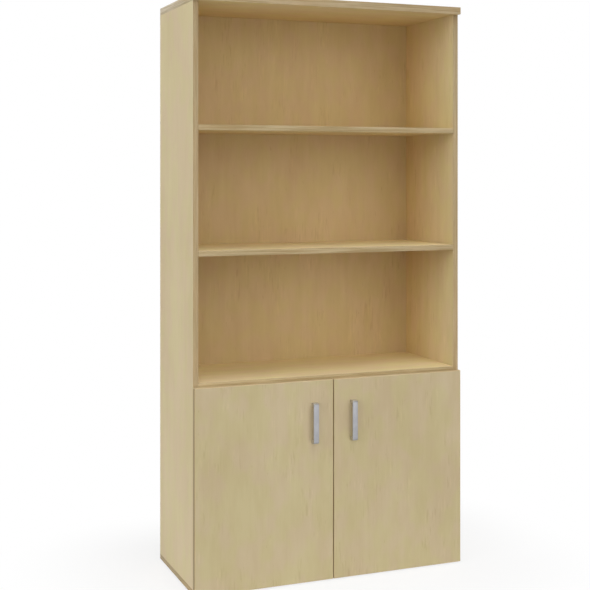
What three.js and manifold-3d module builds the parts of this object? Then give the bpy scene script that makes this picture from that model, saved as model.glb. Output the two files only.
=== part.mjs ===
// A tall bookcase: three open compartments over a cupboard with a pair of doors on concealed hinges.
// Millimetres, +Z up, the doors face -Y. Each piece is drawn from the left front bottom corner of the
// carcass: x from the left side's outer face, y back from the carcass front, z up from under the base.

import * as THREE from 'three';
import { mergeVertices } from 'three/addons/utils/BufferGeometryUtils.js';
import Module from 'manifold-3d';

const wasm = await Module();
wasm.setup();

// Carcass
const width = 1000;
const sideDepth = 425;
const boardThickness = 18;
const topThickness = 25;
const topOverhang = 22;
const cabinetHeight = 670;
const lowerOpenHeight = 424;
const middleOpenHeight = 406;
const upperOpenHeight = 413;
const bandThickness = 2;

// Back panel in its grooves
const backThickness = 8;
const backInset = 32;
const backTongue = 6;
const grooveSlack = 0.3;

// Loose shelves and the pins that carry them
const shelfEndGap = 0.5;
const shelfBackGap = 1;
const cabinetShelfSetback = 20;
const pinRadius = 2.5;
const pinGrip = 8;
const pinHoleSlack = 0.3;
const pinHeadLength = 8.5;
const pinHeadWidth = 7;
const pinHeadRise = 5.5;
const pinPocketSlack = 1;
const pinFrontInset = 37;
const pinFromBack = 60;

// Doors
const doorThickness = 18;
const doorBackGap = 1;
const doorMeetingGap = 3;
const doorBottomGap = 0.5;
const doorTopLap = 5.5;

// Bow handles and their screws
const handleFromCentre = 73;
const handleFromDoorTop = 146;
const handleHoleSpacing = 128;
const handleLegThickness = 12;
const handleWidth = 19;
const handleReach = 23;
const handleBarThickness = 5;
const handleOuterRadius = 7;
const handleInnerRadius = 4;
const handleScrewRadius = 2;
const handleScrewGrip = 9;
const handleScrewHeadRadius = 4.5;
const handleScrewHeadHeight = 2.2;
const handleScrewSlotWidth = 1.2;
const handleScrewSlotDepth = 1;
const screwSlack = 0.3;

// Concealed hinges: the door turns about an upright line inside its own outer edge
const hingeEndInset = 100;
const doorPivotInset = 5;
const doorPivotDepth = 16;
const cupRadius = 17.2;
const cupFromEdge = 22.5;
const cupDepth = 12.2;
const cupWall = 1.2;
const cupFloor = 1;
const cupSlack = 0.3;
const cupFlangeThickness = 0.8;
const cupFlangeLap = 1.6;
const cupEarOffset = 9.5;
const cupEarSpacing = 45;
const cupEarRadius = 7;
const plateThickness = 2;
const plateSetback = 37;
const plateHoleSpacing = 32;
const plateWingWidth = 11;
const plateWingEnd = 6;
const plateRailHeight = 3;
const plateRailLength = 36;
const plateRailWidth = 10;
const armThickness = 6.5;
const armWidth = 14;
const armRearReach = 62;
const armBendFront = 4;
const armBendRear = 18;
const armNoseRadius = 2.9;
const linkPinAcross = 27.4;
const linkPinBehind = 8.3;
const linkPinRadius = 1.2;
const linkEyeRadius = 2.5;
const linkSlack = 0.3;
const linkLength = 20.8;
const linkRestTurn = 176.3;
const linkBow = 2.5;
const linkThickness = 2;
const linkWidth = 8.4;

// Glides under the base
const glideHeight = 5;
const glideRadius = 15;
const glideChamfer = 1.5;
const glideSpigotRadius = 4;
const glideSpigotLength = 10;
const glideSlack = 0.3;
const glideSideInset = 45;
const glideEndInset = 45;

// How far a cut runs past the face it opens
const overrun = 1;

// How round things are faceted
const fineSides = 32;
const plainSides = 16;
const linkSteps = 8;
const cornerSteps = 5;

// Heights and depths that the sizes above give
const fixedShelfZ = boardThickness + cabinetHeight;
const openFloorZ = fixedShelfZ + boardThickness;
const lowerShelfZ = openFloorZ + lowerOpenHeight;
const upperShelfZ = lowerShelfZ + boardThickness + middleOpenHeight;
const topZ = upperShelfZ + boardThickness + upperOpenHeight;
const cabinetShelfZ = boardThickness + (cabinetHeight - boardThickness) / 2;
const innerRight = width - boardThickness;
const backFaceY = sideDepth - backInset - backThickness;
const doorBackY = -doorBackGap;
const doorFrontY = doorBackY - doorThickness;
const doorWidth = (width - doorMeetingGap) / 2;
const doorTopZ = fixedShelfZ + doorTopLap;
const handleFrontY = doorFrontY - handleReach;
const handleX = width / 2 - handleFromCentre;
const handleZ = doorTopZ - handleFromDoorTop;
const handleScrewHeights = [handleZ - handleHoleSpacing / 2, handleZ + handleHoleSpacing / 2];
const doorPivotY = doorBackY - doorPivotDepth;
const linkPinX = doorPivotInset + linkPinAcross;
const linkPinY = doorPivotY + linkPinBehind;
const plateRearY = plateSetback + plateRailLength / 2 + plateWingEnd;
const plateTopX = boardThickness + plateThickness;
const railTopX = plateTopX + plateRailHeight;
const hingeHeights = { lower: doorBottomGap + hingeEndInset, upper: doorTopZ - hingeEndInset };

const mapleBoard = { color: 0xc7b996, roughness: 0.55, metalness: 0 };
const mapleEdge = { color: 0xb29e7c, roughness: 0.5, metalness: 0 };
const satinSilver = { color: 0xa9a9ab, roughness: 0.38, metalness: 0.9 };
const nickelSteel = { color: 0xb8b6b0, roughness: 0.3, metalness: 1 };
const zincScrew = { color: 0xb4b2aa, roughness: 0.35, metalness: 1 };
const greyPlastic = { color: 0x6d6a66, roughness: 0.6, metalness: 0 };

// A closed geometry as a solid that can be joined and cut
function solidOf(geometry) {
  const bare = geometry.clone();
  for (const name of Object.keys(bare.attributes)) {
    if (name !== 'position') bare.deleteAttribute(name);
  }
  const merged = mergeVertices(bare);
  const vertProperties = merged.attributes.position.array;
  const triVerts = new Uint32Array(merged.index.array);
  return new wasm.Manifold(new wasm.Mesh({ numProp: 3, vertProperties, triVerts }));
}

function geometryOf(solid) {
  const mesh = solid.getMesh();
  const geometry = new THREE.BufferGeometry();
  geometry.setAttribute('position', new THREE.BufferAttribute(new Float32Array(mesh.vertProperties), 3));
  geometry.setIndex(new THREE.BufferAttribute(new Uint32Array(mesh.triVerts), 1));
  const flat = geometry.toNonIndexed();
  flat.computeVertexNormals();
  return flat;
}

function cut(geometry, tools) {
  return geometryOf(tools.reduce((left, tool) => left.subtract(solidOf(tool)), solidOf(geometry)));
}

function join(geometries) {
  const [first, ...others] = geometries.map(solidOf);
  return geometryOf(others.reduce((sum, part) => sum.add(part), first));
}

// A box between two corners
function block([x0, y0, z0], [x1, y1, z1]) {
  const box = new THREE.BoxGeometry(x1 - x0, y1 - y0, z1 - z0);
  return box.translate((x0 + x1) / 2, (y0 + y1) / 2, (z0 + z1) / 2);
}

// A round bar along x, y or z, from one end to the other of that axis
function bar(axis, radius, [x, y, z], length, sides = plainSides) {
  const round = new THREE.CylinderGeometry(radius, radius, length, sides);
  if (axis === 'x') round.rotateZ(-Math.PI / 2).translate(x + length / 2, y, z);
  if (axis === 'y') round.translate(x, y + length / 2, z);
  if (axis === 'z') round.rotateX(Math.PI / 2).translate(x, y, z + length / 2);
  return round;
}

// An outline in x and y, raised from one height to another
function raised(outline, z0, z1) {
  const settings = { depth: z1 - z0, bevelEnabled: false, curveSegments: cornerSteps };
  return new THREE.ExtrudeGeometry(outline, settings).translate(0, 0, z0);
}

function outlineOf(points) {
  return new THREE.Shape(points.map(([x, y]) => new THREE.Vector2(x, y)));
}

const bookcase = new THREE.Group();
bookcase.position.set(-width / 2, -(sideDepth + handleFrontY) / 2, glideHeight);
const leftHalf = new THREE.Group();
const rightHalf = new THREE.Group();
rightHalf.position.x = width;
rightHalf.scale.x = -1;
bookcase.add(leftHalf, rightHalf);

function place(group, name, geometry, finish) {
  const mesh = new THREE.Mesh(geometry, new THREE.MeshStandardMaterial(finish));
  mesh.name = name;
  group.add(mesh);
}

// The rows of pins: each loose shelf's underside, and how far its front edge stands back
const looseShelves = [
  { name: 'shelf_upper', z: upperShelfZ, front: 0 },
  { name: 'shelf_lower', z: lowerShelfZ, front: 0 },
  { name: 'cabinet_shelf', z: cabinetShelfZ, front: cabinetShelfSetback },
];
const pinRows = { front: pinFrontInset, back: backFaceY - pinFromBack };

// A side panel stands on the base, under the top, and has the back's groove and the pins' holes
function sideBoard() {
  const grooveBottom = boardThickness - backTongue - grooveSlack;
  const groove = block(
    [grooveBottom, backFaceY - grooveSlack, boardThickness - overrun],
    [boardThickness + overrun, backFaceY + backThickness + grooveSlack, topZ + overrun],
  );
  const holeDepth = pinGrip + pinHoleSlack;
  const holes = looseShelves.flatMap(({ z }) => Object.values(pinRows).map((y) => {
    const start = [boardThickness - holeDepth, y, z + pinHeadRise - pinRadius];
    return bar('x', pinRadius + pinHoleSlack, start, holeDepth + overrun);
  }));
  const board = block([0, bandThickness, boardThickness], [boardThickness, sideDepth, topZ]);
  return cut(board, [groove, ...holes]);
}

for (const [side, group] of [['left', leftHalf], ['right', rightHalf]]) {
  place(group, `side_${side}`, sideBoard(), mapleBoard);
  const band = block([0, 0, boardThickness], [boardThickness, bandThickness, topZ]);
  place(group, `side_${side}_edge_band`, band, mapleEdge);
}

// A full-width board, banded at its front and both ends
function bandedPanel(name, frontY, z0, z1, tools) {
  const ends = [bandThickness, width - bandThickness];
  const board = block([ends[0], frontY + bandThickness, z0], [ends[1], sideDepth, z1]);
  place(bookcase, name, cut(board, tools), mapleBoard);
  const innerY = frontY + bandThickness;
  const band = outlineOf([
    [0, sideDepth], [0, frontY], [width, frontY], [width, sideDepth],
    [ends[1], sideDepth], [ends[1], innerY], [ends[0], innerY], [ends[0], sideDepth],
  ]);
  place(bookcase, `${name}_edge_band`, raised(band, z0, z1), mapleEdge);
}

// The groove across the top or the base, as long as the back with its tongues
function crossGroove(z0, z1) {
  const endX = boardThickness - backTongue - grooveSlack;
  const frontY = backFaceY - grooveSlack;
  return block([endX, frontY, z0], [width - endX, backFaceY + backThickness + grooveSlack, z1]);
}

const glidePlaces = [
  ['front_left', glideSideInset, glideEndInset],
  ['front_right', width - glideSideInset, glideEndInset],
  ['back_left', glideSideInset, sideDepth - glideEndInset],
  ['back_right', width - glideSideInset, sideDepth - glideEndInset],
];
const glideHoles = glidePlaces.map(([, x, y]) => (
  bar('z', glideSpigotRadius + glideSlack, [x, y, -overrun], overrun + glideSpigotLength + glideSlack)
));
bandedPanel('top_panel', -topOverhang, topZ, topZ + topThickness,
  [crossGroove(topZ - overrun, topZ + backTongue + grooveSlack)]);
bandedPanel('base_panel', 0, 0, boardThickness,
  [crossGroove(boardThickness - backTongue - grooveSlack, boardThickness + overrun), ...glideHoles]);

// The back stands in the grooves of both sides, the base and the top
place(bookcase, 'back_panel', block(
  [boardThickness - backTongue, backFaceY, boardThickness - backTongue],
  [innerRight + backTongue, backFaceY + backThickness, topZ + backTongue],
), mapleBoard);

// The fixed shelf between the sides closes the cupboard and is the floor of the open part
place(bookcase, 'fixed_shelf', block(
  [boardThickness, bandThickness, fixedShelfZ], [innerRight, backFaceY, openFloorZ],
), mapleBoard);
place(bookcase, 'fixed_shelf_edge_band', block(
  [boardThickness, 0, fixedShelfZ], [innerRight, bandThickness, openFloorZ],
), mapleEdge);

// A loose shelf lies on four pins, whose heads stand in pockets milled into its underside
function looseShelf({ name, z, front }) {
  const x0 = boardThickness + shelfEndGap;
  const x1 = innerRight - shelfEndGap;
  const board = block([x0, front + bandThickness, z], [x1, backFaceY - shelfBackGap, z + boardThickness]);
  const reach = pinHeadLength + pinPocketSlack;
  const halfWidth = pinHeadWidth / 2 + pinPocketSlack;
  const pocketEnds = [[x0 - overrun, x0 + reach], [x1 - reach, x1 + overrun]];
  const pockets = Object.values(pinRows).flatMap((y) => pocketEnds.map(([from, to]) => (
    block([from, y - halfWidth, z - overrun], [to, y + halfWidth, z + pinHeadRise])
  )));
  place(bookcase, name, cut(board, pockets), mapleBoard);
  const band = block([x0, front, z], [x1, front + bandThickness, z + boardThickness]);
  place(bookcase, `${name}_edge_band`, band, mapleEdge);
}

// A pin: a round shank in the side panel and a flat-topped head under the shelf
function shelfPin(y, z) {
  const halfWidth = pinHeadWidth / 2;
  const shankStart = [boardThickness - pinGrip, y, z + pinHeadRise - pinRadius];
  const shank = bar('x', pinRadius, shankStart, pinGrip + overrun);
  const head = block(
    [boardThickness, y - halfWidth, z + pinHeadRise - 2 * pinRadius],
    [boardThickness + pinHeadLength, y + halfWidth, z + pinHeadRise],
  );
  return join([head, shank]);
}

for (const shelf of looseShelves) {
  looseShelf(shelf);
  for (const [side, group] of [['left', leftHalf], ['right', rightHalf]]) {
    for (const [row, y] of Object.entries(pinRows)) {
      place(group, `${shelf.name}_pin_${row}_${side}`, shelfPin(y, shelf.z), zincScrew);
    }
  }
}

// A glide: a round foot with a spigot pressed into the base
for (const [corner, x, y] of glidePlaces) {
  const profile = [
    [0, -glideHeight], [glideRadius - glideChamfer, -glideHeight], [glideRadius, glideChamfer - glideHeight],
    [glideRadius, 0], [glideSpigotRadius, 0], [glideSpigotRadius, glideSpigotLength], [0, glideSpigotLength],
  ].map(([r, h]) => new THREE.Vector2(r, h));
  const glide = new THREE.LatheGeometry(profile, fineSides).rotateX(Math.PI / 2).translate(x, y, 0);
  place(bookcase, `glide_${corner}`, glide, greyPlastic);
}

// A door board has two blind bores for the hinge cups and two holes for the handle's screws
function doorBoard() {
  const board = block(
    [bandThickness, doorFrontY, doorBottomGap + bandThickness],
    [doorWidth - bandThickness, doorBackY, doorTopZ - bandThickness],
  );
  const boreFloorY = doorBackY - cupDepth - cupSlack;
  const bores = Object.values(hingeHeights).map((z) => (
    bar('y', cupRadius + cupSlack, [cupFromEdge, boreFloorY, z], doorBackY + overrun - boreFloorY, fineSides)
  ));
  const screwHoles = handleScrewHeights.map((z) => (
    bar('y', handleScrewRadius + screwSlack, [handleX, doorFrontY - overrun, z], doorThickness + 2 * overrun)
  ));
  return cut(board, [...bores, ...screwHoles]);
}

// The band runs round all four edges of the door
function doorBand() {
  const outer = block([0, doorFrontY, doorBottomGap], [doorWidth, doorBackY, doorTopZ]);
  const inner = block(
    [bandThickness, doorFrontY - overrun, doorBottomGap + bandThickness],
    [doorWidth - bandThickness, doorBackY + overrun, doorTopZ - bandThickness],
  );
  return cut(outer, [inner]);
}

// A bow handle, drawn from the side as a flat U with rounded corners, and a threaded hole in each leg
function bowHandle() {
  const halfLength = (handleHoleSpacing + handleLegThickness) / 2;
  const halfGap = halfLength - handleLegThickness;
  const barBack = handleReach - handleBarThickness;
  const outline = new THREE.Shape();
  outline.moveTo(-halfLength, 0);
  outline.lineTo(-halfLength, handleReach - handleOuterRadius);
  outline.absarc(handleOuterRadius - halfLength, handleReach - handleOuterRadius, handleOuterRadius,
    Math.PI, Math.PI / 2, true);
  outline.absarc(halfLength - handleOuterRadius, handleReach - handleOuterRadius, handleOuterRadius,
    Math.PI / 2, 0, true);
  outline.lineTo(halfLength, 0);
  outline.lineTo(halfGap, 0);
  outline.absarc(halfGap - handleInnerRadius, barBack - handleInnerRadius, handleInnerRadius,
    0, Math.PI / 2, false);
  outline.absarc(handleInnerRadius - halfGap, barBack - handleInnerRadius, handleInnerRadius,
    Math.PI / 2, Math.PI, false);
  outline.lineTo(-halfGap, 0);
  // The outline's x runs up the door and its y away from it
  const upTheDoor = new THREE.Matrix4().makeBasis(
    new THREE.Vector3(0, 0, 1), new THREE.Vector3(0, -1, 0), new THREE.Vector3(1, 0, 0),
  );
  const bow = raised(outline, -handleWidth / 2, handleWidth / 2).applyMatrix4(upTheDoor);
  const holeDepth = handleScrewGrip + screwSlack;
  const holes = handleScrewHeights.map((z) => (
    bar('y', handleScrewRadius + screwSlack, [handleX, doorFrontY - holeDepth, z], holeDepth + overrun)
  ));
  return cut(bow.translate(handleX, doorFrontY, handleZ), holes);
}

// A screw through the door into a leg of the handle, with a slotted head on the door's inside
function handleScrew(z) {
  const shankStart = [handleX, doorFrontY - handleScrewGrip, z];
  const shank = bar('y', handleScrewRadius, shankStart, doorThickness + handleScrewGrip);
  const head = bar('y', handleScrewHeadRadius, [handleX, doorBackY, z], handleScrewHeadHeight);
  const headTop = doorBackY + handleScrewHeadHeight;
  const slot = block(
    [handleX - handleScrewHeadRadius - overrun, headTop - handleScrewSlotDepth, z - handleScrewSlotWidth / 2],
    [handleX + handleScrewHeadRadius + overrun, headTop + overrun, z + handleScrewSlotWidth / 2],
  );
  return cut(join([head, shank]), [slot]);
}

// The hinge cup fills the door's bore, and its flange and two ears lie on the door
function hingeCup(z) {
  const earX = cupFromEdge + cupEarOffset;
  const earHeights = [z - cupEarSpacing / 2, z + cupEarSpacing / 2];
  const potStart = [cupFromEdge, doorBackY - cupDepth, z];
  const pot = bar('y', cupRadius, potStart, cupDepth + cupFlangeThickness, fineSides);
  const rim = bar('y', cupRadius + cupFlangeLap, [cupFromEdge, doorBackY, z], cupFlangeThickness, fineSides);
  const web = block(
    [earX - cupEarRadius, doorBackY, earHeights[0]],
    [earX + cupEarRadius, doorBackY + cupFlangeThickness, earHeights[1]],
  );
  const ears = earHeights.map((earZ) => (
    bar('y', cupEarRadius, [earX, doorBackY, earZ], cupFlangeThickness, fineSides)
  ));
  const hollow = bar('y', cupRadius - cupWall, [cupFromEdge, doorBackY - cupDepth + cupFloor, z],
    cupDepth + cupFlangeThickness, fineSides);
  return cut(join([pot, rim, web, ...ears]), [hollow]);
}

// The mounting plate on the side's inner face: a plate, two wings and a raised rail
function hingePlate(z) {
  const wingReach = plateHoleSpacing / 2 + plateWingEnd;
  const wings = block(
    [boardThickness, plateSetback - plateWingWidth / 2, z - wingReach],
    [plateTopX, plateSetback + plateWingWidth / 2, z + wingReach],
  );
  const frontY = plateRearY - plateRailLength;
  const sole = block([boardThickness, frontY, z - armWidth / 2], [plateTopX, plateRearY, z + armWidth / 2]);
  const railHalf = plateRailWidth / 2;
  const rail = block([plateTopX, frontY, z - railHalf], [railTopX, plateRearY, z + railHalf]);
  return join([wings, sole, rail]);
}

// The arm lies on the rail and reaches into the cup, where its forked nose holds the link's pin
function hingeArm(z) {
  const backX = railTopX + armThickness;
  const outline = new THREE.Shape();
  outline.moveTo(railTopX, armRearReach);
  outline.lineTo(railTopX, armBendRear);
  outline.lineTo(linkPinX - armThickness, armBendFront);
  outline.lineTo(linkPinX - armNoseRadius, linkPinY);
  outline.absarc(linkPinX, linkPinY, armNoseRadius, Math.PI, 2 * Math.PI, false);
  outline.lineTo(linkPinX + armNoseRadius, armBendFront);
  outline.lineTo(backX, armBendRear);
  outline.lineTo(backX, armRearReach);
  const body = raised(outline, z - armWidth / 2, z + armWidth / 2);
  const forkHalf = linkWidth / 2 + linkSlack;
  const fork = block(
    [linkPinX - armThickness, linkPinY - armNoseRadius - overrun, z - forkHalf],
    [linkPinX + armThickness, linkPinY + linkEyeRadius + 2 * linkSlack, z + forkHalf],
  );
  const pin = bar('z', linkPinRadius, [linkPinX, linkPinY, z - armWidth / 2], armWidth);
  return join([cut(body, [fork]), pin]);
}

// The link: a bowed strap from the eye on the arm's pin to a rounded free end in the cup
function hingeLink(z) {
  const rest = new THREE.Matrix4().makeRotationZ(THREE.MathUtils.degToRad(linkRestTurn));
  rest.setPosition(linkPinX, linkPinY, 0);
  const centre = (share) => new THREE.Vector2(share * linkLength, 4 * linkBow * share * (1 - share));
  const shares = Array.from({ length: linkSteps + 1 }, (_, step) => step / linkSteps);
  const along = (share, offset) => {
    const lean = Math.atan2(4 * linkBow * (1 - 2 * share), linkLength);
    const point = centre(share);
    return [point.x - offset * Math.sin(lean), point.y + offset * Math.cos(lean)];
  };
  const strap = outlineOf([
    ...shares.map((share) => along(share, -linkThickness / 2)),
    ...shares.toReversed().map((share) => along(share, linkThickness / 2)),
  ]);
  const [z0, z1] = [z - linkWidth / 2, z + linkWidth / 2];
  const eye = bar('z', linkEyeRadius, [0, 0, z0], linkWidth);
  const tip = bar('z', linkThickness / 2, [linkLength, 0, z0], linkWidth);
  const hole = bar('z', linkPinRadius + linkSlack, [0, 0, z0 - overrun], linkWidth + 2 * overrun);
  return cut(join([raised(strap, z0, z1), eye, tip]), [hole]).applyMatrix4(rest);
}

for (const [side, group] of [['left', leftHalf], ['right', rightHalf]]) {
  place(group, `door_${side}`, doorBoard(), mapleBoard);
  place(group, `door_${side}_edge_band`, doorBand(), mapleEdge);
  place(group, `door_${side}_handle`, bowHandle(), satinSilver);
  for (const [level, z] of [['lower', handleScrewHeights[0]], ['upper', handleScrewHeights[1]]]) {
    place(group, `door_${side}_handle_screw_${level}`, handleScrew(z), zincScrew);
  }
  for (const [level, z] of Object.entries(hingeHeights)) {
    place(group, `hinge_${side}_${level}_cup`, hingeCup(z), nickelSteel);
    place(group, `hinge_${side}_${level}_plate`, hingePlate(z), nickelSteel);
    place(group, `hinge_${side}_${level}_arm`, hingeArm(z), nickelSteel);
    place(group, `hinge_${side}_${level}_link`, hingeLink(z), nickelSteel);
  }
}

export default bookcase;
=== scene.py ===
import math

import bmesh
import bpy
from mathutils import Matrix, Vector


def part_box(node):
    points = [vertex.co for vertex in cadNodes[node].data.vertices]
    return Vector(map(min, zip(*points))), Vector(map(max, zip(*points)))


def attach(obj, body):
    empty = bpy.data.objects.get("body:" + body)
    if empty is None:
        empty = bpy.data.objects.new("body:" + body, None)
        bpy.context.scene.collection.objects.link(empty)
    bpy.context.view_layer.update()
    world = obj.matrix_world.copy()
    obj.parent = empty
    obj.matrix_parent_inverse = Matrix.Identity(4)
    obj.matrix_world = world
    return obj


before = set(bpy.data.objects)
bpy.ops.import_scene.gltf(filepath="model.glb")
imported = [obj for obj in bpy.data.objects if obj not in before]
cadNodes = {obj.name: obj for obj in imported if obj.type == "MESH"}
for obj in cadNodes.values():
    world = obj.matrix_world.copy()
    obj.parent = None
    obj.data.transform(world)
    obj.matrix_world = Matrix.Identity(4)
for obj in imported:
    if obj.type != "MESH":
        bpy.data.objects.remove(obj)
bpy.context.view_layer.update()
print("frame loaded with", len(cadNodes), "pieces")

sides = {"left": 1, "right": -1}   # which way each half's inside lies along x
levels = ("lower", "upper")
wallX = 0.5                        # the outer faces of the sides
# from frontY to backY the inside faces take a deepening painted shade, which stops at rearY
frontY, backY = -0.1915, 0.1935    # the carcass front and the back panel's front face
rearY = 0.1975                     # within the back panel; behind it nothing is tinted for depth
quarter = math.pi / 2
white = (1, 1, 1, 1)


# Small helpers

def screen(red, green, blue):
    # a colour as it shows on screen, 0 to 255, for a shader socket
    def linear(level):
        share = level / 255
        return share / 12.92 if share <= 0.04045 else ((share + 0.055) / 1.055) ** 2.4
    return (linear(red), linear(green), linear(blue), 1)


def setInputs(tree, made, inputs):
    # a socket is linked, any other value is set
    for name, value in inputs.items():
        if isinstance(value, bpy.types.NodeSocket):
            tree.links.new(value, made.inputs[name])
        else:
            made.inputs[name].default_value = value


def addNode(tree, kind, inputs=None, **settings):
    made = tree.nodes.new("ShaderNode" + kind)
    for name, value in settings.items():
        setattr(made, name, value)
    setInputs(tree, made, inputs or {})
    return made


def calc(tree, operation, *values, clamp=False):
    return addNode(tree, "Math", dict(enumerate(values)), operation=operation, use_clamp=clamp).outputs[0]


def centred(tree, value):
    # a noise from 0 to 1 moved to lie about 0
    return calc(tree, "SUBTRACT", value, 0.5)


def vectorCalc(tree, operation, *values, output=0):
    return addNode(tree, "VectorMath", dict(enumerate(values)), operation=operation).outputs[output]


def axesOf(tree, vector):
    return addNode(tree, "SeparateXYZ", {0: vector}).outputs


def remap(tree, value, fromLow, fromHigh, toLow=0.0, toHigh=1.0):
    inputs = {"Value": value, "From Min": fromLow, "From Max": fromHigh, "To Min": toLow, "To Max": toHigh}
    return addNode(tree, "MapRange", inputs, interpolation_type="SMOOTHSTEP").outputs[0]


def blendColours(tree, share, first, second, mode="MIX"):
    # sockets 0, 6 and 7 are the factor and the two colours
    return addNode(tree, "Mix", {0: share, 6: first, 7: second}, data_type="RGBA", blend_type=mode).outputs[2]


def noise(tree, place, scale, detail=2.0, roughness=0.5, stretch=(1, 1, 1), shift=(0, 0, 0)):
    moved = addNode(tree, "Mapping", {"Vector": place, "Scale": stretch, "Location": shift})
    inputs = {"Vector": moved.outputs[0], "Scale": scale, "Detail": detail, "Roughness": roughness}
    return addNode(tree, "TexNoise", inputs).outputs[0]


def startGroup(name, inputs, outputs):
    tree = bpy.data.node_groups.new(name, "ShaderNodeTree")
    for label, (kind, value) in inputs.items():
        socket = tree.interface.new_socket(label, in_out="INPUT", socket_type="NodeSocket" + kind)
        socket.default_value = value
    for label, kind in outputs.items():
        tree.interface.new_socket(label, in_out="OUTPUT", socket_type="NodeSocket" + kind)
    entry = tree.nodes.new("NodeGroupInput").outputs
    leave = tree.nodes.new("NodeGroupOutput").inputs
    return tree, entry, leave


def place(tree, group, inputs):
    made = tree.nodes.new("ShaderNodeGroup")
    made.node_tree = group
    setInputs(tree, made, inputs)
    return made.outputs


def startMaterial(name):
    material = bpy.data.materials.new(name)
    material.use_nodes = True
    tree = material.node_tree
    surface = tree.nodes["Principled BSDF"]
    here = tree.nodes.new("ShaderNodeTexCoord").outputs["Object"]
    return material, tree, surface, here


def feed(tree, surface, **sockets):
    names = {"colour": "Base Color", "roughness": "Roughness", "normal": "Normal"}
    for key, socket in sockets.items():
        tree.links.new(socket, surface.inputs[names[key]])


def bump(tree, height, strength, distance):
    inputs = {"Height": height, "Strength": strength, "Distance": distance}
    return addNode(tree, "Bump", inputs).outputs["Normal"]


# Shared effects

# each layer of noise: scale, detail, roughness, stretch and shift
# each range: from low and from high, then to low and to high where these aren't 0 and 1
grainLook = {
    "drift": (3.0, 2, 0.5, (1, 1, 0.45), (3.1, 0.7, 1.9)),
    "wander": (5.0, 2, 0.55, (1, 1, 0.16), (0.4, 2.2, 5.3)), "wander share": 0.42,
    "bands": (34.0, 3, 0.6, (1, 1, 0.035), (7.7, 1.1, 0.2)),
    "hairs": (210.0, 3, 0.65, (1, 1, 0.022), (1.3, 4.9, 2.6)),
    "figured": (4.5, 1, 0.5, (1, 1, 0.3), (6.6, 2.4, 3.7)), "figured range": (0.42, 0.66),
    "clouds": (22.0, 3, 0.55, (1, 1, 0.3), (9.2, 5.7, 4.4)),
    "groups": (15.0, 2, 0.5, (1, 1, 0.45), (8.4, 1.9, 6.2)), "groups range": (0.5, 0.64, 0.1, 1.0),
    "marks": (165.0, 1, 0.5, (1, 1, 0.1), (0.9, 3.3, 8.1)),
    "dark range": (0.58, 0.7), "pale range": (0.42, 0.3), "pale mark": (1.16, 1.16, 1.16, 1),
    "knots": (110.0, 1, 0.5, (1, 1, 0.3), (5.2, 0.3, 1.4)), "knots range": (0.73, 0.82),
    "hue": (15.0, 2, 0.5, (1, 1, 0.65), (4.1, 8.8, 2.9)), "hue range": (0.38, 0.62),
    "pores": (900.0, 2, 0.6, (1, 1, 0.08), (2.2, 1.7, 0.6)), "mark dip": -0.5,
    "rings per metre": 21, "tone range": (-0.4, 0.4),
}


def makeWoodGrain():
    # printed maple whose grain runs along z and whose figure widens across x
    look = grainLook
    tree, entry, leave = startGroup("woodGrain", {
        "Place": ("Vector", (0, 0, 0)), "Pale": ("Color", white), "Deep": ("Color", white),
        "Fleck": ("Color", white), "Figure": ("Float", 0.5), "Streaks": ("Float", 0.5),
        "Flecks": ("Float", 0.5), "Drift": ("Float", 1.0), "Cloud": ("Float", 0.3), "Warm": ("Color", white),
        "Cool": ("Color", white), "Hairs": ("Float", 1.0),
    }, {"Color": "Color", "Relief": "Float"})
    here = entry["Place"]

    def layer(name):
        return noise(tree, here, *look[name])

    def ranged(value, name):
        return remap(tree, value, *look[name])

    # growth rings cut lengthways: bands across x that wander along the board
    x, y = axesOf(tree, here)[:2]
    wander = calc(tree, "MULTIPLY", layer("wander"), look["wander share"])
    ringPlace = calc(tree, "ADD", calc(tree, "ADD", x, y), wander)
    rings = calc(tree, "SINE", calc(tree, "MULTIPLY", ringPlace, 2 * math.pi * look["rings per metre"]))
    figured = ranged(layer("figured"), "figured range")
    figure = calc(tree, "MULTIPLY", calc(tree, "MULTIPLY", rings, figured), entry["Figure"])
    # long soft bands with hair-fine lines in them
    hairLines = calc(tree, "MULTIPLY", centred(tree, layer("hairs")), entry["Hairs"])
    streaks = calc(tree, "ADD", centred(tree, layer("bands")), hairLines)
    lines = calc(tree, "MULTIPLY", streaks, entry["Streaks"])
    # cloudy patches some centimetres wide, and a slow drift of tone over the board
    cloudy = calc(tree, "MULTIPLY", centred(tree, layer("clouds")), entry["Cloud"])
    drifted = calc(tree, "MULTIPLY", centred(tree, layer("drift")), entry["Drift"])
    tone = calc(tree, "ADD", calc(tree, "ADD", figure, lines), calc(tree, "ADD", drifted, cloudy))
    wood = blendColours(tree, ranged(tone, "tone range"), entry["Deep"], entry["Pale"])
    # short marks in loose groups, dark and pale side by side, and a few small knots
    marks = layer("marks")
    strength = calc(tree, "MULTIPLY", ranged(layer("groups"), "groups range"), entry["Flecks"])
    darkMarks = calc(tree, "MULTIPLY", ranged(marks, "dark range"), strength)
    paleMarks = calc(tree, "MULTIPLY", ranged(marks, "pale range"), strength)
    knots = calc(tree, "MULTIPLY", ranged(layer("knots"), "knots range"), entry["Flecks"])
    wood = blendColours(tree, darkMarks, wood, entry["Fleck"])
    wood = blendColours(tree, paleMarks, wood, look["pale mark"], "MULTIPLY")
    wood = blendColours(tree, knots, wood, entry["Fleck"])
    hue = blendColours(tree, ranged(layer("hue"), "hue range"), entry["Cool"], entry["Warm"])
    wood = blendColours(tree, 1.0, wood, hue, "MULTIPLY")
    tree.links.new(wood, leave["Color"])
    dips = calc(tree, "MULTIPLY", darkMarks, look["mark dip"])
    tree.links.new(calc(tree, "ADD", layer("pores"), dips), leave["Relief"])
    return tree


coreLook = {"chips": 420.0, "chip share": 0.75, "dust": (1400.0, 2, 0.6), "dust share": 0.3}


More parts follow.
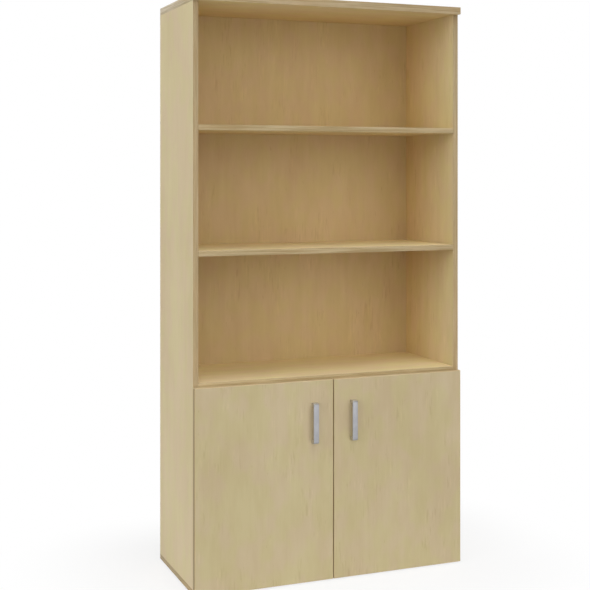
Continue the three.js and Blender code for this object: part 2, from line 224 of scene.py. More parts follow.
def makeCoreChips():
    # raw chipboard, seen where the laminate film ends
    look = coreLook
    tree, entry, leave = startGroup("coreChips", {
        "Place": ("Vector", (0, 0, 0)), "Pale": ("Color", white), "Deep": ("Color", white),
    }, {"Color": "Color", "Relief": "Float"})
    cells = addNode(tree, "TexVoronoi", {"Vector": entry["Place"], "Scale": look["chips"], "Randomness": 1.0})
    chips = addNode(tree, "SeparateColor", {0: cells.outputs["Color"]}).outputs[0]
    dust = noise(tree, entry["Place"], *look["dust"])
    tone = calc(tree, "ADD", calc(tree, "MULTIPLY", chips, look["chip share"]),
                calc(tree, "MULTIPLY", dust, look["dust share"]))
    tree.links.new(blendColours(tree, tone, entry["Deep"], entry["Pale"]), leave["Color"])
    tree.links.new(calc(tree, "ADD", chips, dust), leave["Relief"])
    return tree


def makeBoxDepth():
    # how deep a place lies in a box, along its thin axis and from its ends along x, and how far from an edge
    tree, entry, leave = startGroup("boxDepth", {
        "Place": ("Vector", (0, 0, 0)), "Low": ("Vector", (0, 0, 0)), "High": ("Vector", (0, 0, 0)),
        "Thin": ("Vector", (1, 0, 0)),
    }, {"Thin Depth": "Float", "Edge Distance": "Float", "End Depth": "Float"})
    fromLow = vectorCalc(tree, "SUBTRACT", entry["Place"], entry["Low"])
    fromHigh = vectorCalc(tree, "SUBTRACT", entry["High"], entry["Place"])
    depth = vectorCalc(tree, "MAXIMUM", vectorCalc(tree, "MINIMUM", fromLow, fromHigh), (0, 0, 0))
    thin = vectorCalc(tree, "DOT_PRODUCT", depth, entry["Thin"], output=1)
    tree.links.new(thin, leave["Thin Depth"])
    x, y, z = axesOf(tree, depth)
    tree.links.new(x, leave["End Depth"])
    smallest = calc(tree, "MINIMUM", calc(tree, "MINIMUM", x, y), z)
    largest = calc(tree, "MAXIMUM", calc(tree, "MAXIMUM", x, y), z)
    total = calc(tree, "ADD", calc(tree, "ADD", x, y), z)
    middle = calc(tree, "SUBTRACT", calc(tree, "SUBTRACT", total, smallest), largest)
    tree.links.new(middle, leave["Edge Distance"])
    return tree


rubLook = {"patches": (60.0, 3, 0.6), "patches range": (0.42, 0.62)}


def makeEdgeRub():
    # where hands and floors rub an edge: a broken line along it
    tree, entry, leave = startGroup("edgeRub", {
        "Place": ("Vector", (0, 0, 0)), "Distance": ("Float", 0), "Reach": ("Float", 0.002),
        "Broken": ("Float", 0.5),
    }, {"Mask": "Float"})
    near = calc(tree, "SUBTRACT", 1.0, calc(tree, "DIVIDE", entry["Distance"], entry["Reach"]), clamp=True)
    patches = remap(tree, noise(tree, entry["Place"], *rubLook["patches"]), *rubLook["patches range"])
    bare = calc(tree, "MULTIPLY", entry["Broken"], calc(tree, "SUBTRACT", 1.0, patches))
    kept = calc(tree, "SUBTRACT", 1.0, bare)
    tree.links.new(calc(tree, "MULTIPLY", near, kept), leave["Mask"])
    return tree


handlingLook = {
    "smears": (9.0, 4, 0.62, (1, 1, 0.6), (2.5, 6.1, 0.8)), "fine": (160.0, 2, 0.6), "fine share": 0.5,
}


def makeHandling():
    # faint smears and scuffs, which change the gloss
    tree, entry, leave = startGroup("handling", {
        "Place": ("Vector", (0, 0, 0)), "Rough": ("Float", 0.5), "Change": ("Float", 0.1),
    }, {"Roughness": "Float"})
    look = handlingLook
    smears = centred(tree, noise(tree, entry["Place"], *look["smears"]))
    fine = centred(tree, noise(tree, entry["Place"], *look["fine"]))
    change = calc(tree, "ADD", smears, calc(tree, "MULTIPLY", fine, look["fine share"]))
    changed = calc(tree, "MULTIPLY", change, entry["Change"])
    tree.links.new(calc(tree, "ADD", entry["Rough"], changed), leave["Roughness"])
    return tree


brushLook = {"detail": 3.0, "roughness": 0.7, "stretch": (1, 1, 0.02)}


def makeBrushing():
    # fine lines left by a brush or a grinding belt that runs along z
    tree, entry, leave = startGroup("brushing", {
        "Place": ("Vector", (0, 0, 0)), "Fineness": ("Float", 2500.0),
    }, {"Value": "Float"})
    look = brushLook
    lines = noise(tree, entry["Place"], entry["Fineness"], look["detail"], look["roughness"], look["stretch"])
    tree.links.new(lines, leave["Value"])
    return tree


woodGrain = makeWoodGrain()
coreChips = makeCoreChips()
boxDepth = makeBoxDepth()
edgeRub = makeEdgeRub()
handling = makeHandling()
brushing = makeBrushing()
print("shared effects ready")


# Boards: maple laminate over chipboard

boardLook = {
    "pale": screen(235, 219, 176), "deep": screen(223, 204, 160), "fleck": screen(203, 181, 135),
    "figure": 0.05, "streaks": 0.17, "flecks": 0.27, "drift": 1.0, "cloud": 0.6, "shine": 0.2,
    "warm": (0.985, 1.0, 0.93, 1), "cool": (0.997, 0.967, 1.0, 1),
    "rough": 0.55, "gloss change": 0.12, "relief": 0.12, "relief depth": 0.0002,
    "film": 0.0003, "core pale": screen(190, 166, 124), "core deep": screen(122, 96, 62),
    "core relief": 4.0, "core rough": 0.35,
    "rubbed": screen(214, 202, 172), "rub reach": 0.0015, "rub strength": 0.25,
}
# each face's painted light and shade as a tint at the carcass front and at the back panel, fitted to the
# photograph's tones: a darker, warmer painted shade deep inside, paler painted light on the shelf tops'
# fronts, the doors painted darker than the sides
paintedFaceShade = {
    "outside": ((0.786, 0.78, 0.787, 1), (0.786, 0.78, 0.787, 1)),
    "inside": ((0.792, 0.797, 0.772, 1), (0.868, 0.742, 0.597, 1)),
    "door": ((0.632, 0.629, 0.634, 1), (0.632, 0.629, 0.634, 1)),
    "back": ((0.701, 0.61, 0.507, 1), (0.701, 0.61, 0.507, 1)),
    "shelfTop": ((1.07, 1.08, 1.08, 1), (1.04, 1.01, 0.91, 1)),
    "underside": ((0.785, 0.742, 0.645, 1), (0.85, 0.75, 0.615, 1)),
}
upright = (0, 0, 0)            # grain up the board, figure across x
uprightSide = (0, 0, quarter)  # grain up the board, figure across y
lengthways = (0, quarter, 0)   # grain along x
# each board's grain, how lively it is, its thin axis, and its faces' painted light and shade at that axis's
# low and high end
boards = {
    "side_left": (uprightSide, 0.7, (1, 0, 0), "outside", "inside"),
    "side_right": (uprightSide, 1.3, (1, 0, 0), "inside", "outside"),
    "back_panel": (upright, 1.3, (0, 1, 0), "back", "outside"),
    "door_left": (upright, 1.3, (0, 1, 0), "door", "inside"),
    "door_right": (upright, 1.3, (0, 1, 0), "door", "inside"),
    "top_panel": (lengthways, 1.0, (0, 0, 1), "underside", "outside"),
    "base_panel": (lengthways, 1.0, (0, 0, 1), "underside", "shelfTop"),
    "fixed_shelf": (lengthways, 1.0, (0, 0, 1), "underside", "shelfTop"),
    "shelf_upper": (lengthways, 1.0, (0, 0, 1), "underside", "shelfTop"),
    "shelf_lower": (lengthways, 1.0, (0, 0, 1), "underside", "shelfTop"),
    "cabinet_shelf": (lengthways, 1.0, (0, 0, 1), "underside", "shelfTop"),
}


def grainPlace(tree, here, turn, seed):
    # each board is cut from another part of the printed sheet
    shift = (1.7 * seed, 0.9 * seed, 2.3 * seed)
    return addNode(tree, "Mapping", {"Vector": here, "Rotation": turn, "Location": shift}).outputs[0]


def boardMaterial(name, turn, liveliness, thin, lowShadeFace, highShadeFace, seed):
    look = boardLook
    material, tree, surface, here = startMaterial(name + "Maple")
    grain = place(tree, woodGrain, {
        "Place": grainPlace(tree, here, turn, seed), "Pale": look["pale"], "Deep": look["deep"],
        "Fleck": look["fleck"], "Figure": look["figure"], "Streaks": look["streaks"] * liveliness,
        "Flecks": look["flecks"] * liveliness, "Drift": look["drift"], "Cloud": look["cloud"] * liveliness,
        "Warm": look["warm"], "Cool": look["cool"],
    })
    low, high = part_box(name)
    depth = place(tree, boxDepth, {"Place": here, "Low": low, "High": high, "Thin": thin})
    rub = place(tree, edgeRub, {
        "Place": here, "Distance": depth["Edge Distance"], "Reach": look["rub reach"],
    })
    rubShare = calc(tree, "MULTIPLY", rub["Mask"], look["rub strength"])
    middle = Vector(thin).dot(low + high) / 2
    highFace = calc(tree, "GREATER_THAN", vectorCalc(tree, "DOT_PRODUCT", here, thin, output=1), middle)
    y = axesOf(tree, here)[1]
    # painted shade: the inside faces grow darker and warmer from the carcass front to the back panel, not
    # behind it
    shadeDepthShare = addNode(tree, "MapRange", {"Value": y, "From Min": frontY, "From Max": backY}).outputs[0]
    inward = calc(tree, "MULTIPLY", shadeDepthShare, calc(tree, "LESS_THAN", y, rearY))
    lowPaintedShade, highPaintedShade = (blendColours(tree, inward, *paintedFaceShade[face]) for face in (lowShadeFace, highShadeFace))
    # each face takes its painted light or shade, the low or high face along the thin axis
    paintedLight = blendColours(tree, highFace, lowPaintedShade, highPaintedShade)
    tinted = blendColours(tree, 1.0, grain["Color"], paintedLight, "MULTIPLY")
    laminate = blendColours(tree, rubShare, tinted, look["rubbed"])
    core = place(tree, coreChips, {"Place": here, "Pale": look["core pale"], "Deep": look["core deep"]})
    inCore = calc(tree, "GREATER_THAN", depth["Thin Depth"], look["film"])
    colour = blendColours(tree, inCore, laminate, core["Color"])
    chips = calc(tree, "MULTIPLY", calc(tree, "MULTIPLY", core["Relief"], inCore), look["core relief"])
    relief = calc(tree, "ADD", grain["Relief"], chips)
    gloss = place(tree, handling, {"Place": here, "Rough": look["rough"], "Change": look["gloss change"]})
    rough = calc(tree, "ADD", gloss["Roughness"], calc(tree, "MULTIPLY", inCore, look["core rough"]))
    surface.inputs["Specular IOR Level"].default_value = look["shine"]
    feed(tree, surface, colour=colour, roughness=rough,
         normal=bump(tree, relief, look["relief"], look["relief depth"]))
    return material


for seed, (name, settings) in enumerate(boards.items()):
    cadNodes[name].data.materials[0] = boardMaterial(name, *settings, seed)
print("boards finished:", len(boards))


# Edge bands: 2 mm strips, a little browner than the laminate, with long streaks

bandLook = {
    "pale": screen(177, 157, 122), "deep": screen(153, 131, 93), "fleck": screen(139, 116, 80),
    "figure": 0.04, "flecks": 0.2, "hairs": 2.4, "drift": 0.25, "cloud": 0.3, "shine": 0.1,
    "warm": (1.0, 0.985, 0.965, 1), "cool": (0.985, 1.0, 1.0, 1),
    "rough": 0.5, "gloss change": 0.1, "relief": 0.08, "relief depth": 0.0002,
    "rubbed": screen(208, 192, 160), "rub reach": 0.0008, "rub strength": 0.35,
    "thickness": 0.0021, "front": 0.0006,
}
endways = (quarter, 0, 0)      # grain along y
# painted light: the shelf bands and the door bands are brightened beyond their own colour
bandPlainLight = (1.06, 1.08, 1.1, 1)
doorBandLight = (1.28, 1.34, 1.36, 1)
# a band's painted light and shade as tints, fitted to the photograph's tones: lighter or darker at two
# heights, painted shade behind its front face, a painted highlight on a strip along the top, and pale painted
# light on the strips at both ends
bandPaintedLight = {
    "side": {"low": (1.14, 1.135, 1.175, 1), "high": (0.945, 0.95, 0.98, 1)},
    "top": {"low": (1.04, 1.05, 1.11, 1), "high": (1.04, 1.05, 1.11, 1), "ends": (1.33, 1.47, 1.8, 1)},
    "shelf": {},
    "fixed": {"low": (1.18, 1.21, 1.2, 1), "high": (1.18, 1.21, 1.2, 1)},
    "door": {
        "low": doorBandLight, "high": doorBandLight, "behind": (0.82, 0.81, 0.76, 1), "top": (1.55, 1.62, 1.74, 1),
    },
}
bandLow, bandHigh = 0.7, 1.9   # the heights that the low and high tints belong to
bandSeed = 20                  # the bands' seeds start beyond the boards'
# each band's grain, the grain of its end strips, how streaked it is, and its painted light and shade
bands = {
    "side_left": (upright, upright, 0.5, "side"),
    "side_right": (upright, upright, 0.5, "side"),
    "top_panel": (lengthways, endways, 1.3, "top"),
    "base_panel": (lengthways, endways, 1.3, "shelf"),
    "fixed_shelf": (lengthways, lengthways, 0.8, "fixed"),
    "shelf_upper": (lengthways, lengthways, 1.3, "shelf"),
    "shelf_lower": (lengthways, lengthways, 1.3, "shelf"),
    "cabinet_shelf": (lengthways, lengthways, 1.3, "shelf"),
    "door_left": (lengthways, upright, 0.6, "door"),
    "door_right": (lengthways, upright, 0.6, "door"),
}


def bandMaterial(name, turn, endTurn, streaks, paintedLight, seed):
    # the strips at a board's two ends run another way than the long ones
    look = bandLook
    material, tree, surface, here = startMaterial(name + "Edging")
    low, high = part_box(name)
    depth = place(tree, boxDepth, {"Place": here, "Low": low, "High": high})
    rub = place(tree, edgeRub, {
        "Place": here, "Distance": depth["Edge Distance"], "Reach": look["rub reach"],
    })
    atEnd = calc(tree, "LESS_THAN", depth["End Depth"], look["thickness"])
    along = addNode(tree, "Mix", {
        0: atEnd, 4: grainPlace(tree, here, turn, seed), 5: grainPlace(tree, here, endTurn, seed),
    }, data_type="VECTOR").outputs[1]
    grain = place(tree, woodGrain, {
        "Place": along, "Pale": look["pale"], "Deep": look["deep"],
        "Fleck": look["fleck"], "Figure": look["figure"], "Streaks": streaks, "Flecks": look["flecks"],
        "Drift": look["drift"], "Cloud": look["cloud"], "Warm": look["warm"], "Cool": look["cool"],
        "Hairs": look["hairs"],
    })
    rubShare = calc(tree, "MULTIPLY", rub["Mask"], look["rub strength"])
    own = bandPaintedLight[paintedLight]
    y, z = axesOf(tree, here)[1:]
    rise = addNode(tree, "MapRange", {"Value": z, "From Min": bandLow, "From Max": bandHigh}).outputs[0]
    shade = blendColours(tree, rise, own.get("low", bandPlainLight), own.get("high", bandPlainLight))
    # painted shade behind the front face, a painted highlight on the top strip, pale painted light on the end
    # strips
    masks = {
        "ends": atEnd,
        "behind": remap(tree, y, low.y + look["front"], low.y + look["thickness"]),
        "top": calc(tree, "GREATER_THAN", z, high.z - look["thickness"]),
    }
    for part, mask in masks.items():
        if part in own:
            shade = blendColours(tree, mask, shade, own[part])
    tinted = blendColours(tree, 1.0, grain["Color"], shade, "MULTIPLY")
    colour = blendColours(tree, rubShare, tinted, look["rubbed"])
    gloss = place(tree, handling, {"Place": here, "Rough": look["rough"], "Change": look["gloss change"]})
    surface.inputs["Specular IOR Level"].default_value = look["shine"]
    feed(tree, surface, colour=colour, roughness=gloss["Roughness"],
         normal=bump(tree, grain["Relief"], look["relief"], look["relief depth"]))
    return material


for seed, (board, settings) in enumerate(bands.items()):
    name = board + "_edge_band"
    cadNodes[name].data.materials[0] = bandMaterial(name, *settings, bandSeed + seed)
print("edge bands finished:", len(bands))


# Metal and plastic

silverLook = {
    "colour": screen(150, 150, 153), "worn": screen(164, 164, 167),
    "rough": 0.44, "fineness": 2600.0, "relief": 0.12,
}
nickelLook = {
    "colour": screen(186, 183, 176), "worn": screen(208, 205, 198),
    "rough": 0.26, "fineness": 1200.0, "relief": 0.06,
}
zincLook = {
    "colour": screen(178, 176, 170), "worn": screen(202, 200, 192),
    "rough": 0.34, "fineness": 1500.0, "relief": 0.1,
}
# what all metals share
metalLook = {
    "patches": (45.0, 3, 0.6), "patches range": (0.4, 0.75), "patches share": 0.6,
    "gloss change": 0.16, "line rough": 0.2, "relief depth": 0.0001,
}
# the handles' painted light and shade, fitted to the photograph: flanks painted paler where they reflect the
# shaded door, upper ends painted darker in place of their highlight, and where each begins and is full
handlePaintedLight = {
    "flank": screen(198, 194, 186), "flank range": (-0.2324, -0.2312),
    "end": screen(120, 119, 117), "end range": (0.613, 0.619), "cap range": (-0.2318, -0.2298, 1.0, 0.0),
}
plasticLook = {
    "colour": screen(92, 90, 88), "worn": screen(120, 117, 112),
    "rough": 0.55, "grain": 1600.0, "relief": 0.15,
}
rubberLook = {
    "colour": screen(198, 190, 172), "worn": screen(180, 170, 150),
    "rough": 0.6, "grain": 1200.0, "relief": 0.1,
}
# what plastic and rubber share
mouldedLook = {
    "grain detail": (2, 0.6), "patches": (70.0, 3, 0.6), "patches range": (0.45, 0.8),
    "gloss change": 0.15, "relief depth": 0.0002,
}


def metalMaterial(name, look, tone=None):
    shared = metalLook
    material, tree, surface, here = startMaterial(name)
    lines = place(tree, brushing, {"Place": here, "Fineness": look["fineness"]})["Value"]
    patches = remap(tree, noise(tree, here, *shared["patches"]), *shared["patches range"])
    worn = calc(tree, "MULTIPLY", patches, shared["patches share"])
    colour = blendColours(tree, worn, look["colour"], look["worn"])
    # painted light and shade on the handles: paler flanks, darker upper ends
    if tone:
        y, z = axesOf(tree, here)[1:]
        colour = blendColours(tree, remap(tree, y, *tone["flank range"]), colour, tone["flank"])
        cap = remap(tree, y, *tone["cap range"])
        end = calc(tree, "MULTIPLY", remap(tree, z, *tone["end range"]), cap)
        colour = blendColours(tree, end, colour, tone["end"])
    gloss = place(tree, handling, {"Place": here, "Rough": look["rough"], "Change": shared["gloss change"]})
    lineRough = calc(tree, "MULTIPLY", centred(tree, lines), shared["line rough"])
    surface.inputs["Metallic"].default_value = 1.0
    feed(tree, surface, colour=colour, roughness=calc(tree, "ADD", gloss["Roughness"], lineRough),
         normal=bump(tree, lines, look["relief"], shared["relief depth"]))
    return material


def mouldedMaterial(name, look):
    shared = mouldedLook
    material, tree, surface, here = startMaterial(name)
    grain = noise(tree, here, look["grain"], *shared["grain detail"])
    patches = remap(tree, noise(tree, here, *shared["patches"]), *shared["patches range"])
    colour = blendColours(tree, patches, look["colour"], look["worn"])
    gloss = place(tree, handling, {"Place": here, "Rough": look["rough"], "Change": shared["gloss change"]})
    feed(tree, surface, colour=colour, roughness=gloss["Roughness"],
         normal=bump(tree, grain, look["relief"], shared["relief depth"]))
    return material


satinSilver = metalMaterial("satinSilver", silverLook, handlePaintedLight)
nickelSteel = metalMaterial("nickelSteel", nickelLook)
zincSteel = metalMaterial("zincSteel", zincLook)
greyPlastic = mouldedMaterial("greyPlastic", plasticLook)
paleRubber = mouldedMaterial("paleRubber", rubberLook)
finishes = {
    "satin_silver": satinSilver, "nickel_steel": nickelSteel,
    "zinc_steel": zincSteel, "grey_plastic": greyPlastic,
}
for item in cadNodes.values():
    packed = item.data.materials[0].name
    if packed in finishes:
        item.data.materials[0] = finishes[packed]
print("metal and plastic finished")


# Softened edges on the CAD pieces

# each kind's bevel width and segments; a name that holds two kinds takes the later one
softening = {
    "edge_band": (0.0004, 2), "handle": (0.0009, 3), "screw": (0.0003, 2), "cup": (0.0002, 2),
    "plate": (0.0003, 2), "arm": (0.0004, 2), "link": (0.0002, 1), "pin": (0.0004, 2), "glide": (0.0005, 2),
}
boardSoftening = (0.0002, 1)
edgeLook = {
    "weld": 0.00001, "flat angle": math.radians(0.5), "bevel angle": math.radians(35),
    "shade angle": math.radians(32),
}


def makeShadeByAngle():
    # faces that meet flatter than the angle shade as one
    tree = bpy.data.node_groups.new("shadeByAngle", "GeometryNodeTree")
    tree.interface.new_socket("Geometry", in_out="INPUT", socket_type="NodeSocketGeometry")
    angle = tree.interface.new_socket("Angle", in_out="INPUT", socket_type="NodeSocketFloat")
    angle.default_value = edgeLook["shade angle"]
    tree.interface.new_socket("Geometry", in_out="OUTPUT", socket_type="NodeSocketGeometry")
    entry = tree.nodes.new("NodeGroupInput").outputs
    leave = tree.nodes.new("NodeGroupOutput").inputs
    bend = tree.nodes.new("GeometryNodeInputMeshEdgeAngle").outputs[0]
    flatter = tree.nodes.new("FunctionNodeCompare")
    flatter.data_type, flatter.operation = "FLOAT", "LESS_THAN"
    bare = tree.nodes.new("GeometryNodeRemoveAttribute")
    bare.inputs["Name"].default_value = "custom_normal"
    faces = tree.nodes.new("GeometryNodeSetShadeSmooth")
    edges = tree.nodes.new("GeometryNodeSetShadeSmooth")
    edges.domain = "EDGE"
    tree.links.new(entry["Geometry"], bare.inputs["Geometry"])
    tree.links.new(bare.outputs[0], faces.inputs["Geometry"])
    tree.links.new(faces.outputs[0], edges.inputs["Geometry"])
    tree.links.new(bend, flatter.inputs[0])
    tree.links.new(entry["Angle"], flatter.inputs[1])
    tree.links.new(flatter.outputs[0], edges.inputs["Shade Smooth"])
    tree.links.new(edges.outputs[0], leave["Geometry"])
    return tree


shadeByAngle = makeShadeByAngle()


def soften(item, width, segments):
    weld = item.modifiers.new("weld", "WELD")
    weld.merge_threshold = edgeLook["weld"]
    flatten = item.modifiers.new("joinFlatFaces", "DECIMATE")
    flatten.decimate_type = "DISSOLVE"
    flatten.angle_limit = edgeLook["flat angle"]
    bevel = item.modifiers.new("softEdges", "BEVEL")
    bevel.width, bevel.segments = width, segments
    bevel.limit_method, bevel.angle_limit = "ANGLE", edgeLook["bevel angle"]
    item.modifiers.new("shading", "NODES").node_group = shadeByAngle


for name, item in cadNodes.items():
    kinds = [kind for kind in softening if kind in name]
    soften(item, *(softening[kinds[-1]] if kinds else boardSoftening))
print("edges softened")


# Hinge screws, turned heads with a cross recess, and the doors' buffer pads

# lengths as shares of a head's radius and height; a dome is a list of radius and height shares
screwLook = {
    "facets": 28, "crossHalf": 0.44, "armHalf": 0.13, "recessShare": 0.55, "taperShare": 0.5,
    "dome": [(1.0, 0.0), (1.0, 0.35), (0.93, 0.68), (0.78, 0.88), (0.56, 1.0)],
}
padLook = {
    "facets": 32, "radius": 0.004, "height": 0.0008, "from meeting edge": 0.015, "z": 0.014,
    "dome": [(1.0, 0.0), (1.0, 0.45), (0.94, 0.8), (0.82, 1.0)],
}
# a turn is its middle, and how far the upper and lower head of a pair differ from it
plateScrew = {
    "radius": 0.0037, "height": 0.0021, "from middle": 0.016, "setback": 0.037, "from wall": 0.02,
    "turn": (0.4, 0.9),
}
earScrew = {
    "radius": 0.0034, "height": 0.0014, "from middle": 0.0225, "from edge": 0.032, "turn": (0.7, -0.5),
}
armScrew = {
    "radius": 0.0028, "height": 0.0007, "places": (0.0265, 0.0495), "from wall": 0.0295, "turn per metre": 12,
}


def ringOf(mesh, radius, z, facets):
    turns = (2 * math.pi * i / facets for i in range(facets))
    return [mesh.verts.new((radius * math.cos(turn), radius * math.sin(turn), z)) for turn in turns]


def wallBetween(mesh, first, second):
    for i in range(len(first)):
        j = (i + 1) % len(first)
        mesh.faces.new((first[i], first[j], second[j], second[i]))


def turnedWall(mesh, radius, height, profile, facets):
    # rings stacked up the profile, closed at the foot, open at the top
    rings = [ringOf(mesh, radius * share, height * rise, facets) for share, rise in profile]
    for first, second in zip(rings, rings[1:]):
        wallBetween(mesh, first, second)
    mesh.faces.new(rings[0][::-1])
    return rings[-1]


def asObject(mesh, name, material):
    bmesh.ops.recalc_face_normals(mesh, faces=mesh.faces)
    data = bpy.data.meshes.new(name)
    mesh.to_mesh(data)
    mesh.free()
    data.materials.append(material)
    item = bpy.data.objects.new(name, data)
    bpy.context.scene.collection.objects.link(item)
    item.modifiers.new("shading", "NODES").node_group = shadeByAngle
    return item


def crossHead(name, size, material):
    # a domed head on z, its recess cut by a tapering cross
    look = screwLook
    radius, height = size["radius"], size["height"]
    mesh = bmesh.new()

    def cross(scale, z):
        long, short = radius * look["crossHalf"] * scale, radius * look["armHalf"] * scale
        corners = [(long, -short), (long, short), (short, short)]
        points = []
        for turn in range(4):
            c, s = round(math.cos(turn * quarter)), round(math.sin(turn * quarter))
            points += [(c * x - s * y, s * x + c * y, z) for x, y in corners]
        return [mesh.verts.new(point) for point in points]

    rim = turnedWall(mesh, radius, height, look["dome"], look["facets"])
    mouth = cross(1.0, height)
    floor = cross(look["taperShare"], height * (1 - look["recessShare"]))
    wallBetween(mesh, mouth, floor)
    mesh.faces.new(floor)
    pairs = [(loop[i], loop[(i + 1) % len(loop)]) for loop in (rim, mouth) for i in range(len(loop))]
    edges = [mesh.edges.get(pair) or mesh.edges.new(pair) for pair in pairs]
    bmesh.ops.triangle_fill(mesh, edges=edges, use_beauty=True, normal=(0, 0, 1))
    return asObject(mesh, name, material)


def softPad(name, material):
    # a small buffer disc with a rounded rim
    look = padLook
    mesh = bmesh.new()
    mesh.faces.new(turnedWall(mesh, look["radius"], look["height"], look["dome"], look["facets"]))
    return asObject(mesh, name, material)


def stand(item, spot, direction, turn, body):
    # the head's foot at spot, its top towards direction
    tilt = Vector(direction).to_track_quat("Z", "Y").to_matrix().to_4x4()
    item.data.transform(Matrix.Translation(spot) @ tilt @ Matrix.Rotation(turn, 4, "Z"))
    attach(item, body)


def turnOf(size, way):
    middle, apart = size["turn"]
    return middle + apart * way


def setHingeScrews(side, inward, level):
    wall = -inward * wallX
    plateLow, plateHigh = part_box(f"hinge_{side}_{level}_plate")
    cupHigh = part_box(f"hinge_{side}_{level}_cup")[1]
    z = (plateLow.z + plateHigh.z) / 2
    plateX, armX = (wall + inward * size["from wall"] for size in (plateScrew, armScrew))
    for at, way in (("above", 1), ("below", -1)):
        head = crossHead(f"plate_screw_{side}_{level}_{at}", plateScrew, zincSteel)
        spot = (plateX, frontY + plateScrew["setback"], z + way * plateScrew["from middle"])
        stand(head, spot, (inward, 0, 0), turnOf(plateScrew, way), "carcass")
        head = crossHead(f"cup_screw_{side}_{level}_{at}", earScrew, zincSteel)
        spot = (wall + inward * earScrew["from edge"], cupHigh.y, z + way * earScrew["from middle"])
        stand(head, spot, (0, 1, 0), turnOf(earScrew, way), f"door_{side}")
    for at, y in zip(("front", "rear"), armScrew["places"]):
        head = crossHead(f"arm_screw_{side}_{level}_{at}", armScrew, nickelSteel)
        turn = armScrew["turn per metre"] * y
        stand(head, (armX, frontY + y, z), (inward, 0, 0), turn, "carcass")


def setPad(side, inward):
    doorLow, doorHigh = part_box(f"door_{side}")
    meeting = doorHigh.x if inward > 0 else doorLow.x
    spot = (meeting - inward * padLook["from meeting edge"], doorHigh.y, padLook["z"])
    stand(softPad(f"door_pad_{side}", paleRubber), spot, (0, 1, 0), 0.0, f"door_{side}")


for side, inward in sides.items():
    for level in levels:
        setHingeScrews(side, inward, level)
    setPad(side, inward)
print("hinge screws and door pads set")


# Floor, background and light

stageLook = {
    "floor": (0.95, 0.95, 0.95, 1), "floorSize": 60.0, "foot": (0.5, 0.2335, 0),
    "near clear": 0.8, "clear from": 0.02, "clear to": 0.6, "ambient": 0.0,
}
# round lamps far off, each turned this many degrees round the object from its front, and raised
lamps = {
    "left": {"turn": -85, "rise": 12, "power": 4000.0},
    "farLeft": {"turn": -65, "rise": 20, "power": 3192.0},
    "frontLeft": {"turn": -45, "rise": 14, "power": 1581.0},
    "nearLeft": {"turn": -20, "rise": 12, "power": 1079.0},
    "nearRight": {"turn": 20, "rise": 12, "power": 3177.0},
    "frontRight": {"turn": 42, "rise": 20, "power": 1079.0},
    "frontHigh": {"turn": 0, "rise": 40, "power": 3010.0},
    "high": {"turn": 0, "rise": 72, "power": 4940.0},
    "right": {"turn": 100, "rise": 20, "power": 2600.0},
    "behind": {"turn": 180, "rise": 25, "power": 3200.0},
}
lampDistance, lampSize = 40.0, 22.0
aim = Vector((0, 0, 0.9))


def seenRays(tree):
    # rays from the camera, straight, mirrored or through glass, but not those that light the object
    rays = addNode(tree, "LightPath").outputs
    bounced = calc(tree, "MAXIMUM", rays["Is Glossy Ray"], rays["Is Transmission Ray"])
    return calc(tree, "MAXIMUM", rays["Is Camera Ray"], bounced)


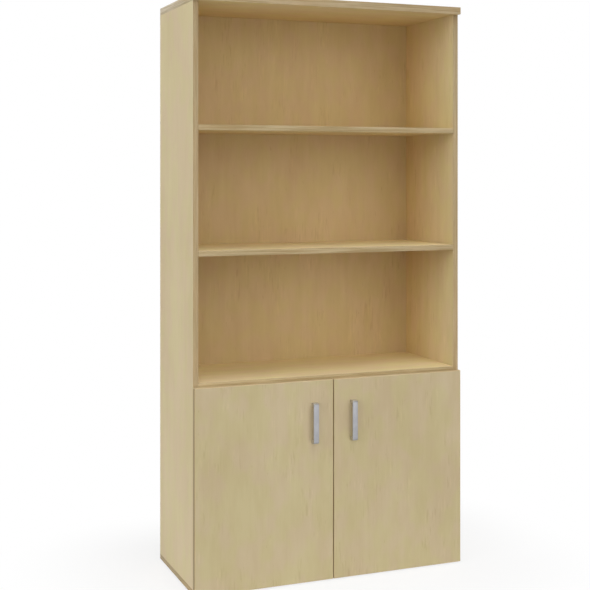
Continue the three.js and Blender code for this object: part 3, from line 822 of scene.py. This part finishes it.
def makeFloor():
    look = stageLook
    mesh = bmesh.new()
    bmesh.ops.create_grid(mesh, x_segments=1, y_segments=1, size=look["floorSize"] / 2)
    data = bpy.data.meshes.new("floor")
    mesh.to_mesh(data)
    mesh.free()
    floor = bpy.data.objects.new("floor", data)
    bpy.context.scene.collection.objects.link(floor)
    # further out the camera sees plain white, nearer the object the floor keeps its shadow
    material = bpy.data.materials.new("paleFloor")
    material.use_nodes = True
    tree = material.node_tree
    tree.nodes.clear()
    here = addNode(tree, "TexCoord").outputs["Object"]
    beyond = vectorCalc(tree, "SUBTRACT", vectorCalc(tree, "ABSOLUTE", here), look["foot"])
    gap = vectorCalc(tree, "LENGTH", vectorCalc(tree, "MAXIMUM", beyond, (0, 0, 0)), output=1)
    away = remap(tree, gap, look["clear from"], look["clear to"], look["near clear"], 1.0)
    share = calc(tree, "MULTIPLY", away, seenRays(tree))
    paint = addNode(tree, "BsdfDiffuse", {"Color": look["floor"]}).outputs[0]
    glow = addNode(tree, "Emission", {"Color": white, "Strength": 1.0}).outputs[0]
    mixed = addNode(tree, "MixShader", {0: share, 1: paint, 2: glow})
    leave = addNode(tree, "OutputMaterial", {"Surface": mixed.outputs[0]})
    leave.is_active_output = True
    data.materials.append(material)


def makeBackground():
    world = bpy.data.worlds.new("studio")
    bpy.context.scene.world = world
    world.use_nodes = True
    tree = world.node_tree
    tree.nodes.clear()
    inputs = {"Value": seenRays(tree), "To Min": stageLook["ambient"], "To Max": 1.0}
    strength = addNode(tree, "MapRange", inputs).outputs[0]
    sky = addNode(tree, "Background", {"Color": white, "Strength": strength})
    addNode(tree, "OutputWorld", {"Surface": sky.outputs[0]})


def makeLamps():
    for name, look in lamps.items():
        data = bpy.data.lights.new(name, "AREA")
        data.shape, data.size, data.energy = "DISK", lampSize, look["power"]
        lamp = bpy.data.objects.new(name, data)
        turn, rise = math.radians(look["turn"]), math.radians(look["rise"])
        level = math.cos(rise)
        towards = Vector((math.sin(turn) * level, -math.cos(turn) * level, math.sin(rise)))
        lamp.location = aim + towards * lampDistance
        lamp.rotation_mode = "QUATERNION"
        lamp.rotation_quaternion = (-towards).to_track_quat("-Z", "Y")
        bpy.context.scene.collection.objects.link(lamp)


makeFloor()
makeBackground()
makeLamps()
bpy.context.scene.view_settings.view_transform = "Standard"
print("floor, background and lamps ready")


# Camera: solved from the photograph, level, with the picture's crop as shift

photoCamera = {
    "imagePixels": 590, "focalPixels": 1207.443, "middlePixels": (315.896, 173.392),
    "spot": (-1.63828, -4.07147, 1.41281), "turn": math.radians(-22.158), "sensor": 36.0,
}


def makeCamera():
    look = photoCamera
    pixels = look["imagePixels"]
    data = bpy.data.cameras.new("photoCamera")
    data.sensor_width = look["sensor"]
    data.lens = look["sensor"] * look["focalPixels"] / pixels
    across, down = look["middlePixels"]
    data.shift_x = (pixels / 2 - across) / pixels
    data.shift_y = (down - pixels / 2) / pixels
    camera = bpy.data.objects.new("photoCamera", data)
    camera.location = look["spot"]
    camera.rotation_euler = (quarter, 0, look["turn"])
    bpy.context.scene.collection.objects.link(camera)
    bpy.context.scene.camera = camera


makeCamera()
print("camera ready")
